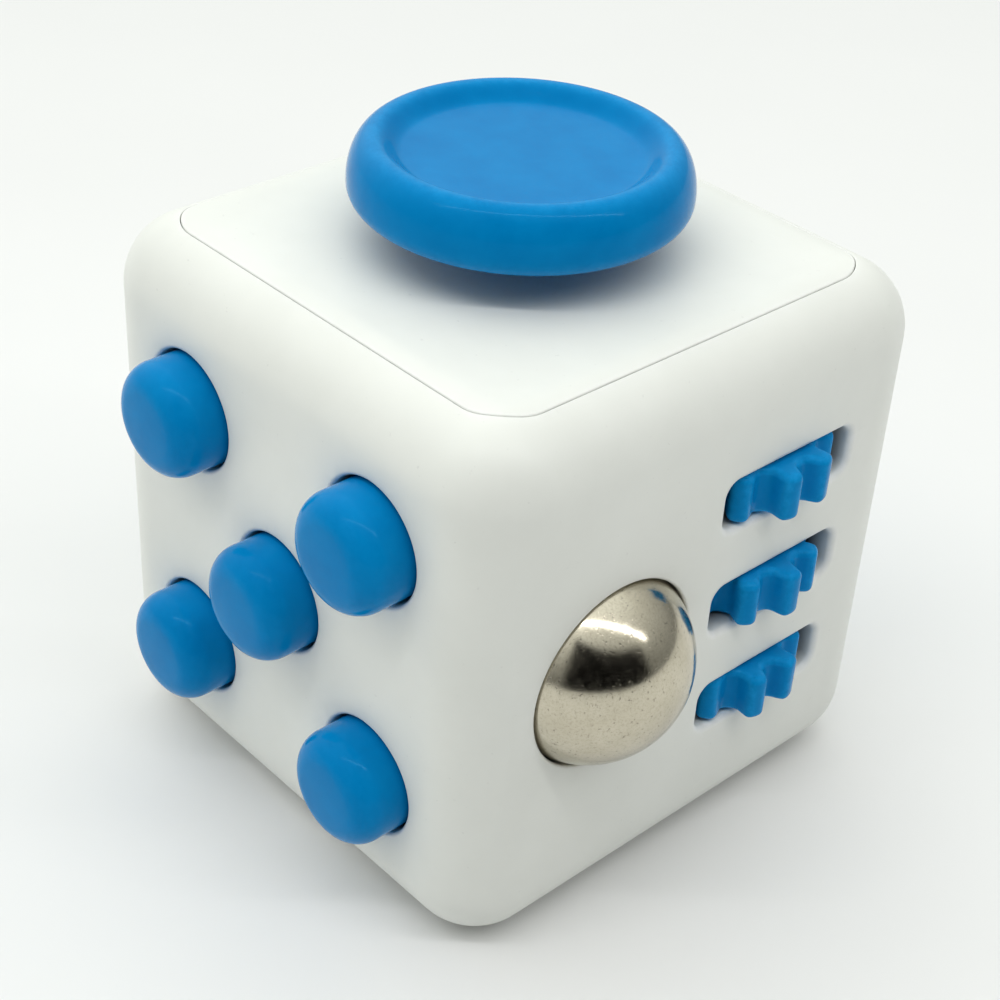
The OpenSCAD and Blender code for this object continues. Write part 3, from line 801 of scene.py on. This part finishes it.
# %% Build the wheels
TEETH = 10
PLUMPNESS = 4
TIP_R = 4.8
ROOT_R = 3.7
PHASE = {"upper": 20.5, "middle": 0.5, "lower": -17.5}
AXLE = Vector((13.35, 5.3, 0))
WHEEL_ROUNDING = 0.42
WHEEL_BORE = 0.68


def tooth_outline(phase):
    points = []
    steps = TEETH * 28
    for i in range(steps):
        a = 2 * math.pi * i / steps
        wave = math.cos(TEETH * a)
        wave = wave * math.sqrt(1 + PLUMPNESS) / math.sqrt(1 + PLUMPNESS * wave * wave)
        r = (TIP_R + ROOT_R) / 2 + (TIP_R - ROOT_R) / 2 * wave
        turned = a + math.radians(phase)
        points.append((r * math.cos(turned), r * math.sin(turned)))
    return points


def make_wheel(name):
    low, high = box_mm("gear_" + name)
    height = (low.z + high.z) / 2
    skin = Skin()
    place = lambda x, y, w: AXLE + Vector((x, y, height + w))
    outline = tooth_outline(PHASE[name])
    rounded_prism(skin, place, outline, high.z - low.z, WHEEL_ROUNDING, 6, bore=WHEEL_BORE)
    return skin.piece("toothed_wheel_" + name, "gear_" + name, ["gear_" + name], "blue_plastic")


wheels = [make_wheel(name) for name in GEARS]

# %% [markdown]
# ## The joystick
#
# The thumb cap is a disc with a fat rolled rim and a shallow flat-bottomed hollow. The rim's outside is
# a quarter of an ellipse, and its inside a tighter curve that ends in a small fillet at the floor.

# %% Build the cap
cap_low, cap_high = box_mm("joystick_cap")
CAP_R = 9.36
CAP_CREST_R = 7.95
CAP_FLOOR_R = 6.4
CAP_SHOULDER = 2.45
CAP_FLOOR = 0.88
CAP_HOLLOW = 0.1
CAP_UNDER = 1.1


def cap_profile():
    """(radius, height) from the middle of the underside, round the rim, to the middle of the floor."""
    bottom, top = cap_low.z, cap_high.z
    profile = [(0, bottom + 1.6), (2.4, bottom + 1.6), (2.4, bottom), (3.6, bottom), (3.6, bottom + 1.4)]
    profile += [(7.6, bottom + 1.4), (7.6, bottom)]
    profile += arc((CAP_R - CAP_UNDER, bottom + CAP_UNDER), CAP_UNDER, -90, 0, 10)
    for k in range(1, 19):
        a = math.radians(5 * k)
        out = CAP_CREST_R + (CAP_R - CAP_CREST_R) * math.cos(a)
        profile.append((out, top - CAP_SHOULDER * (1 - math.sin(a))))
    for k in range(1, 13):
        t = k / 12
        fall = CAP_FLOOR * (0.5 - 0.5 * math.cos(math.pi * t)) ** 1.15
        profile.append((CAP_CREST_R - (CAP_CREST_R - CAP_FLOOR_R) * t, top - fall))
    for k in range(1, 9):
        r = CAP_FLOOR_R * (1 - k / 8)
        profile.append((r, top - CAP_FLOOR - CAP_HOLLOW * (1 - (r / CAP_FLOOR_R) ** 2)))
    return profile


def make_cap():
    skin = Skin()
    lathe(skin, lambda x, y, z: Vector((x, y, z)), cap_profile(), 144)
    return skin.piece("thumb_cap", "joystick", ["joystick_cap"], "blue_plastic")


cap = make_cap()

# %% [markdown]
# ## The rocker switch
#
# On the side away from the camera a paddle rocks on two stub pins. Its front is a shallow V, so one
# half always stands proud, ready for the thumb. It is a rounded prism across its pivot, with the pins and
# the cam that makes it click.

# %% Build the rocker
TILT = math.radians(9)
PIVOT_IN = 1.6
ROCKER_R = 7.4
STUB_R = 0.8
CAM_R = 3.0


def rocker_outline():
    """The side view: (up the face, outwards from the pivot), anticlockwise."""
    tip = math.degrees(math.atan2(3.72, 6.4))
    back = math.degrees(math.asin(-0.8 / ROCKER_R))
    right = arc((0, 0), ROCKER_R, back, tip - 3, 12)
    crown = [(5.95, 3.66), (5.2, 3.46), (3.9, 3.16), (2.6, 2.88), (1.3, 2.62), (0.5, 2.5)]
    return right + crown + [(-x, y) for x, y in reversed(crown)] + [(-x, y) for x, y in reversed(right)]


def make_rocker():
    face = face_frame(ROCKER_SIDE)
    cos, sin = math.cos(TILT), math.sin(TILT)

    def place(x, y, w):
        return face(w, x * cos - y * sin, x * sin + y * cos - PIVOT_IN)

    skin = Skin()
    rounded_prism(skin, place, rocker_outline(), 8.0, 0.55, 6)
    rounded_prism(skin, place, [(STUB_R * x, STUB_R * y) for x, y in circle(1, 32)], 10.4, 0.1, 2)
    rounded_prism(skin, place, arc((0, 0), CAM_R, 190, 350, 24), 2.4, 0.08, 1)
    return skin.piece("rocker_paddle", "rocker", ["rocker_switch"], "blue_plastic")


rocker = make_rocker()

# %% [markdown]
# ## The spin dial
#
# The dial is a flat disc with an off-centre dimple for a fingertip. A fine net of rings and spokes covers
# its front, and the points inside the dimple are pressed in with a smooth bowl-shaped falloff.

# %% Build the dial
dial_low, dial_high = box_mm("dial_knob")
DIAL_R = (dial_high.x - dial_low.x) / 2
DIAL_OUT = dial_high.y - HALF
DIMPLE_AT = 4.2
DIMPLE_R = 3.05
DIMPLE_DEPTH = 0.9


def dimple(u, v):
    """How far the front of the dial is pressed in at a point."""
    away = math.hypot(u - DIMPLE_AT, v) / DIMPLE_R
    return 0.0 if away >= 1 else DIMPLE_DEPTH * (1 - away * away) ** 1.1


def make_dial():
    face = face_frame(BACK)
    place = lambda u, v, w: face(u, v, w - (dimple(u, v) if w > DIAL_OUT - 0.02 else 0))
    rim, under = 0.8, 0.3
    hub_end = -2.3
    profile = [(0, hub_end), (2.9, hub_end), (2.9, 0.3), (DIAL_R - under, 0.3)]
    profile += arc((DIAL_R - under, 0.3 + under), under, -90, 0, 4)
    profile += arc((DIAL_R - rim, DIAL_OUT - rim), rim, 0, 90, 10)
    profile += [((DIAL_R - rim) * (1 - k / 44), DIAL_OUT) for k in range(1, 45)]
    skin = Skin()
    lathe(skin, place, profile, 144)
    return skin.piece("spin_disc", "dial", ["dial_knob"], "blue_plastic")


dial = make_dial()

# %% [markdown]
# ## Materials
#
# Everything is made of very few things: a satin white moulding, a satin blue moulding, polished and
# plain steel, a grey inner plastic and a soft rubber. Each gets a procedural material, whose
# colour varies a little over the surface, whose gloss isn't even, and whose surface has the fine
# waviness and grain that a moulding or a rolled part really has. `Recipe` holds the wiring that they
# share, and each material adds what makes it special.

# %% Node helpers


class Recipe:
    """A material under construction: a Principled surface, and short ways to add nodes to it."""

    def __init__(self, name):
        self.material = bpy.data.materials.new(name)
        self.material.use_nodes = True
        self.nodes = self.material.node_tree.nodes
        self.links = self.material.node_tree.links
        self.surface = self.nodes["Principled BSDF"]
        self.place = self.nodes.new("ShaderNodeTexCoord").outputs["Object"]

    def add(self, kind, settings=None, **inputs):
        node = self.nodes.new(kind)
        for key, value in (settings or {}).items():
            setattr(node, key, value)
        for key, value in inputs.items():
            self.feed(node.inputs[key.replace("_", " ")], value)
        return node

    def feed(self, socket, value):
        if isinstance(value, bpy.types.NodeSocket):
            self.links.new(value, socket)
        else:
            socket.default_value = value

    def noise(self, size_mm, detail=3.0, rough=0.5):
        """Noise between 0 and 1 whose blotches are about size_mm across."""
        node = self.add("ShaderNodeTexNoise", None, Vector=self.place, Scale=1 / (size_mm * MM))
        node.inputs["Detail"].default_value = detail
        node.inputs["Roughness"].default_value = rough
        return node.outputs["Fac"]

    def curve(self, value, low, high, to_low, to_high):
        """Stretches a value from one span to another, and holds it at the ends."""
        node = self.add("ShaderNodeMapRange", None, Value=value)
        for key, number in zip(("From Min", "From Max", "To Min", "To Max"), (low, high, to_low, to_high)):
            node.inputs[key].default_value = number
        return node.outputs["Result"]

    def blend(self, amount, first, second):
        node = self.add("ShaderNodeMix", {"data_type": "RGBA"})
        self.feed(node.inputs[0], amount)
        self.feed(node.inputs[6], first)
        self.feed(node.inputs[7], second)
        return node.outputs[2]

    def bump(self, height, depth_mm, strength=1.0, under=None):
        node = self.add("ShaderNodeBump", None, Height=height, Distance=depth_mm * MM, Strength=strength)
        if under is not None:
            self.links.new(under, node.inputs["Normal"])
        return node.outputs["Normal"]

    def edges(self):
        """Up to 1 on worn outer edges, broken up by noise, and 0 elsewhere."""
        wear = self.add("ShaderNodeAttribute", {"attribute_name": "wear"}).outputs["Fac"]
        rubbed = self.add("ShaderNodeMath", {"operation": "MULTIPLY"})
        self.feed(rubbed.inputs[0], wear)
        self.feed(rubbed.inputs[1], self.curve(self.noise(0.5, 4.0, 0.7), 0.35, 0.7, 0.2, 0.9))
        return rubbed.outputs[0]

    def vector(self, operation, first, second=None):
        node = self.add("ShaderNodeVectorMath", {"operation": operation})
        self.feed(node.inputs[0], first)
        if second is not None:
            node.inputs[1].default_value = second
        return node.outputs["Value" if operation == "LENGTH" else "Vector"]

    def depth(self, deepest=2.0):
        """How far a point lies under the skin of the round-edged cube, in millimetres."""
        apart = self.vector("ABSOLUTE", self.vector("SUBTRACT", self.place, (0, 0, MID_Z * MM)))
        past = self.vector("MAXIMUM", self.vector("SUBTRACT", apart, (FLAT * MM,) * 3), (0, 0, 0))
        reach = self.vector("LENGTH", past)
        return self.curve(reach, EDGE * MM, (EDGE - deepest) * MM, 0.0, deepest)

    def finish(self, colour, roughness, normal, **settings):
        self.feed(self.surface.inputs["Base Color"], colour)
        self.feed(self.surface.inputs["Roughness"], roughness)
        self.feed(self.surface.inputs["Normal"], normal)
        for key, value in settings.items():
            self.surface.inputs[key.replace("_", " ")].default_value = value
        return self.material


# %% [markdown]
# ** White moulding.** The plastic is nearly white and very slightly grey-green. Its satin comes from a fine
# spark-eroded grain in the mould. Handling leaves faint broad patches that are a touch darker, and rubs the
# edges a touch lighter. The walls of the openings are painted darker with their depth under the face, a
# painted shade that stands in for the want of light that makes such a gap look nearly black. The thumb dish
# is open to the light, and has none of that painted shade. The blue plastic is glossier, with fine rubs that
# all run one way.

# %% White and blue plastic


def white_moulding(name, painted_recess_shade):
    """The white plastic. Its painted recess shade is how far the walls of the openings are painted darker,
    from 0 to 1.
    """
    mix = Recipe(name)
    patches = mix.curve(mix.noise(9.0, 4.0, 0.6), 0.35, 0.7, 0.0, 1.0)
    specks = mix.curve(mix.noise(0.35, 2.0), 0.72, 0.78, 0.0, 0.35)
    colour = mix.blend(patches, (0.83, 0.84, 0.80, 1), (0.79, 0.80, 0.76, 1))
    colour = mix.blend(specks, colour, (0.62, 0.62, 0.60, 1))
    colour = mix.blend(mix.edges(), colour, (0.88, 0.88, 0.87, 1))
    # Painted shade: the colour is painted towards near black with depth under the cube's skin, standing in
    # for the want of light inside the openings.
    shade = mix.curve(mix.depth(), 0.25, 1.7, 0.0, painted_recess_shade)
    colour = mix.blend(shade, colour, (0.03, 0.035, 0.05, 1))
    gloss = mix.curve(mix.noise(3.0, 5.0, 0.7), 0.3, 0.75, 0.34, 0.46)
    grain = mix.bump(mix.noise(0.11, 2.0), 0.004, 0.5)
    waves = mix.bump(mix.noise(7.0, 1.0), 0.05, 0.4, grain)
    return mix.finish(colour, gloss, waves, Specular_IOR_Level=0.3)


def blue_moulding():
    mix = Recipe("blue_moulding")
    patches = mix.curve(mix.noise(2.5, 4.0, 0.6), 0.3, 0.75, 0.0, 1.0)
    colour = mix.blend(patches, (0.0, 0.19, 0.49, 1), (0.001, 0.225, 0.55, 1))
    colour = mix.blend(mix.edges(), colour, (0.01, 0.30, 0.68, 1))
    gloss = mix.curve(mix.noise(0.9, 6.0, 0.75), 0.3, 0.75, 0.07, 0.15)
    scratches = mix.add("ShaderNodeTexNoise", None, Scale=1 / (0.5 * MM))
    stretched = mix.add("ShaderNodeMapping", None, Vector=mix.place)
    stretched.inputs["Scale"].default_value = (1.0, 7.0, 2.0)
    stretched.inputs["Rotation"].default_value = (0.4, 0.9, 0.7)
    mix.feed(scratches.inputs["Vector"], stretched.outputs["Vector"])
    rubs = mix.bump(mix.curve(scratches.outputs["Fac"], 0.6, 0.75, 0.0, 1.0), 0.004, 0.5)
    grain = mix.bump(mix.noise(0.12, 2.0), 0.005, 0.6, rubs)
    sheen = (0.3, 0.75, 1.0, 1)
    return mix.finish(colour, gloss, grain, IOR=1.17, Specular_Tint=sheen)


# %% [markdown]
# **Steel.** The ball is a bearing ball that has lived in a pocket: mirror bright, a little warm, and
# peppered with tiny pits. The screws, springs and axle share a plainer steel with fine drawn lines.

# %% Steel


def ball_steel():
    mix = Recipe("ball_steel")
    haze = mix.curve(mix.noise(1.6, 5.0, 0.65), 0.3, 0.75, 0.0, 1.0)
    colour = mix.blend(haze, (0.60, 0.555, 0.45, 1), (0.50, 0.455, 0.355, 1))
    speckle = mix.curve(mix.noise(0.13, 4.0, 0.7), 0.48, 0.68, 0.0, 0.4)
    colour = mix.blend(speckle, colour, (0.34, 0.30, 0.23, 1))
    pits = mix.curve(mix.noise(0.2, 3.0, 0.6), 0.62, 0.7, 0.0, 1.0)
    colour = mix.blend(pits, colour, (0.30, 0.27, 0.22, 1))
    gloss = mix.curve(mix.noise(0.5, 5.0, 0.7), 0.3, 0.75, 0.1, 0.22)
    dents = mix.bump(pits, -0.004, 0.7)
    ripple = mix.bump(mix.noise(0.6, 3.0), 0.003, 0.5, dents)
    return mix.finish(colour, gloss, ripple, Metallic=1.0)


def plain_steel(name, tint, low, high):
    mix = Recipe(name)
    drawn = mix.add("ShaderNodeMapping", None, Vector=mix.place)
    drawn.inputs["Scale"].default_value = (1.0, 1.0, 12.0)
    lines = mix.add("ShaderNodeTexNoise", None, Scale=1 / (0.6 * MM), Vector=drawn.outputs["Vector"])
    darker = tuple(0.8 * c for c in tint[:3]) + (1,)
    colour = mix.blend(mix.noise(1.2, 4.0), darker, tint)
    gloss = mix.curve(lines.outputs["Fac"], 0.3, 0.7, low, high)
    return mix.finish(colour, gloss, mix.bump(lines.outputs["Fac"], 0.003, 0.5), Metallic=1.0)


# %% [markdown]
# **Inner plastic and rubber.** Nobody sees these until the cube is taken apart, yet a glimpse shows
# through the slots, so they are made with the same care: a dull grey with flow marks, and a
# slightly dusty silicone.

# %% Inner plastic and rubber


def inner_plastic():
    mix = Recipe("inner_plastic")
    flow = mix.curve(mix.noise(4.0, 5.0, 0.65), 0.3, 0.7, 0.0, 1.0)
    colour = mix.blend(flow, (0.30, 0.31, 0.32, 1), (0.36, 0.37, 0.38, 1))
    gloss = mix.curve(mix.noise(1.0, 4.0), 0.3, 0.7, 0.5, 0.66)
    return mix.finish(colour, gloss, mix.bump(mix.noise(0.15, 2.0), 0.006, 0.6))


def soft_rubber():
    mix = Recipe("soft_rubber")
    dust = mix.curve(mix.noise(0.8, 5.0, 0.7), 0.35, 0.75, 0.0, 1.0)
    colour = mix.blend(dust, (0.55, 0.56, 0.55, 1), (0.68, 0.68, 0.66, 1))
    gloss = mix.curve(mix.noise(0.5, 3.0), 0.3, 0.7, 0.68, 0.85)
    return mix.finish(colour, gloss, mix.bump(mix.noise(0.1, 3.0), 0.005, 0.6))


FINISHES = {
    # The case and the joystick panel carry the painted shade in their openings; the thumb dish has none.
    "white_plastic": white_moulding("white_moulding", 0.96),
    "dish_plastic": white_moulding("white_dish_moulding", 0.0),
    "blue_plastic": blue_moulding(),
    "polished_steel": ball_steel(),
    "screw_steel": plain_steel("screw_steel", (0.56, 0.56, 0.55, 1), 0.25, 0.42),
    "sprung_steel": plain_steel("sprung_steel", (0.66, 0.65, 0.62, 1), 0.16, 0.3),
    "inner_plastic": inner_plastic(),
    "soft_rubber": soft_rubber(),
}

# %% [markdown]
# Each new piece takes the finish of its slot, and so does each CAD node that stays as it is, through
# the slot that the record gives it.

# %% Give every piece its finish


def dress(piece, slot):
    piece.data.materials.clear()
    piece.data.materials.append(FINISHES[slot])


new_pieces = [case, joystick_panel, thumb_dish_panel, ball, cap, rocker, dial] + buttons + wheels
for piece in new_pieces:
    dress(piece, piece["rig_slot"])
dress(thumb_dish_panel, "dish_plastic")
for part in frame["record"]["subparts"]:
    node = frame["nodes"][part["node"]]
    for place in node.material_slots:
        place.material = FINISHES[part["material_slot"]]
print("dressed", len(new_pieces), "new pieces and", len(frame["nodes"]), "CAD nodes")

# %% [markdown]
# ## Floor and light
#
# The cube stands on a plain pale surface in very soft daylight. The floor is far larger than the view, so
# that it fills the frame from every side. It lies a hair below the cube, so that the two never share a
# plane.

# %% Floor


def make_floor():
    skin = Skin()
    far, drop = 9000, -0.01
    ring = skin.ring([(-far, -far, drop), (far, -far, drop), (far, far, drop), (-far, far, drop)])
    skin.face(ring)
    mesh = bpy.data.meshes.new("floor")
    skin.bm.to_mesh(mesh)
    skin.bm.free()
    floor = bpy.data.objects.new("floor", mesh)
    bpy.context.scene.collection.objects.link(floor)
    mix = Recipe("pale_table")
    colour = mix.blend(mix.noise(30.0, 3.0), (0.79, 0.79, 0.79, 1), (0.82, 0.82, 0.82, 1))
    mix.finish(colour, 0.6, mix.bump(mix.noise(0.4, 2.0), 0.01, 0.2))
    mesh.materials.append(mix.material)
    return floor


floor = make_floor()

# %% [markdown]
# One long narrow lamp hangs across the view, like the gap between two ceiling panels. It draws the thin
# bright lines on the buttons and on the ball, and deepens the shadow under the joystick cap.

# %% The strip lamp


def area_light(name, place, aim, along, size, watts):
    """A rectangular lamp at a place, facing a point, with its long side along a direction."""
    back = (Vector(place) - Vector(aim)).normalized()
    side = (Vector(along) - back * back.dot(Vector(along))).normalized()
    data = bpy.data.lights.new(name, "AREA")
    data.shape = "RECTANGLE"
    data.size, data.size_y = size[0] * MM, size[1] * MM
    data.energy = watts
    lamp = bpy.data.objects.new(name, data)
    frame_of_lamp = Matrix((side, back.cross(side), back)).transposed().to_4x4()
    frame_of_lamp.translation = Vector(place) * MM
    lamp.matrix_world = frame_of_lamp
    bpy.context.scene.collection.objects.link(lamp)
    return lamp


AIM = (0, 0, 17)
ACROSS_VIEW = (math.cos(CAMERA_TURN), math.sin(CAMERA_TURN), 0)
strip = area_light("ceiling_strip", (125, -50, 345), AIM, ACROSS_VIEW, (800, 20), 0.62)
print("strip lamp:", round(strip.data.energy, 2), "W")

# %% [markdown]
# The rest of the light is a pale room. Broad soft lobes of light, each with a direction, a sharpness and a
# strength, add up to a bright ceiling and paler walls. The dim shape of a person beside the camera
# matters to the steel ball alone, because a ball in an empty white room looks like plaster.

# %% The room, painted on the sky


def unit(turn, rise):
    """The direction at an angle round from -Y towards +X, and an angle up, in degrees."""
    a, b = math.radians(turn), math.radians(rise)
    return (math.sin(a) * math.cos(b), -math.cos(a) * math.cos(b), math.sin(b))


def make_room(base, lobes, person):
    """A sky: an even glow, broad soft lobes of light, and the dim shape of a person."""
    world = bpy.data.worlds.new("room")
    world.use_nodes = True
    nodes, links = world.node_tree.nodes, world.node_tree.links
    ray = nodes.new("ShaderNodeTexCoord").outputs["Generated"]

    def maths(operation, first, second=None, third=None):
        node = nodes.new("ShaderNodeMath")
        node.operation = operation
        for socket, value in zip(node.inputs, (first, second, third)):
            if isinstance(value, bpy.types.NodeSocket):
                links.new(value, socket)
            elif value is not None:
                socket.default_value = value
        return node.outputs[0]

    def facing(direction):
        node = nodes.new("ShaderNodeVectorMath")
        node.operation = "DOT_PRODUCT"
        links.new(ray, node.inputs[0])
        node.inputs[1].default_value = direction
        return maths("MAXIMUM", node.outputs["Value"], 0.0)

    def step(value, low, high):
        node = nodes.new("ShaderNodeMapRange")
        node.interpolation_type = "SMOOTHSTEP"
        for key, number in (("From Min", low), ("From Max", high)):
            node.inputs[key].default_value = number
        links.new(value, node.inputs["Value"])
        return node.outputs["Result"]

    total = maths("ADD", base, 0.0)
    for turn, rise, power, strength in lobes:
        lobe = maths("POWER", facing(unit(turn, rise)), power)
        total = maths("MULTIPLY_ADD", lobe, strength, total)
    split = nodes.new("ShaderNodeSeparateXYZ")
    links.new(ray, split.inputs[0])
    x, y, z = split.outputs
    turn = maths("MULTIPLY", maths("ARCTAN2", x, maths("MULTIPLY", y, -1.0)), math.degrees(1))
    rise = maths("MULTIPLY", maths("ARCSINE", z), math.degrees(1))
    left, right, top, slope, soft, dim = person
    height = maths("MULTIPLY_ADD", maths("SUBTRACT", turn, left), slope, rise)
    shape = maths("MULTIPLY", step(turn, left - soft, left + soft), step(turn, right + soft, right - soft))
    shape = maths("MULTIPLY", shape, step(height, top + soft, top - soft))
    total = maths("MULTIPLY", total, maths("SUBTRACT", 1.0, maths("MULTIPLY", shape, 1.0 - dim)))
    shade = nodes["Background"]
    shade.inputs["Color"].default_value = (0.97, 1.0, 0.96, 1)
    links.new(total, shade.inputs["Strength"])
    return world


GLOW = 0.02
LOBES = [
    (0, 90, 2.5, 0.84),
    (226, 50, 4.0, 0.36),
    (-10, 50, 5.0, 0.4),
    (85, 58, 5.0, 0.16),
    (-20, 20, 3.0, 0.35),
    (-90, 30, 3.0, 1.0),
    (180, 30, 3.0, 0.3),
    (125, 25, 3.0, 0.25),
]
PERSON = (22.0, 112.0, 54.0, 0.25, 5.0, 0.03)
bpy.context.scene.world = make_room(GLOW, LOBES, PERSON)
bpy.context.scene.view_settings.view_transform = "Standard"
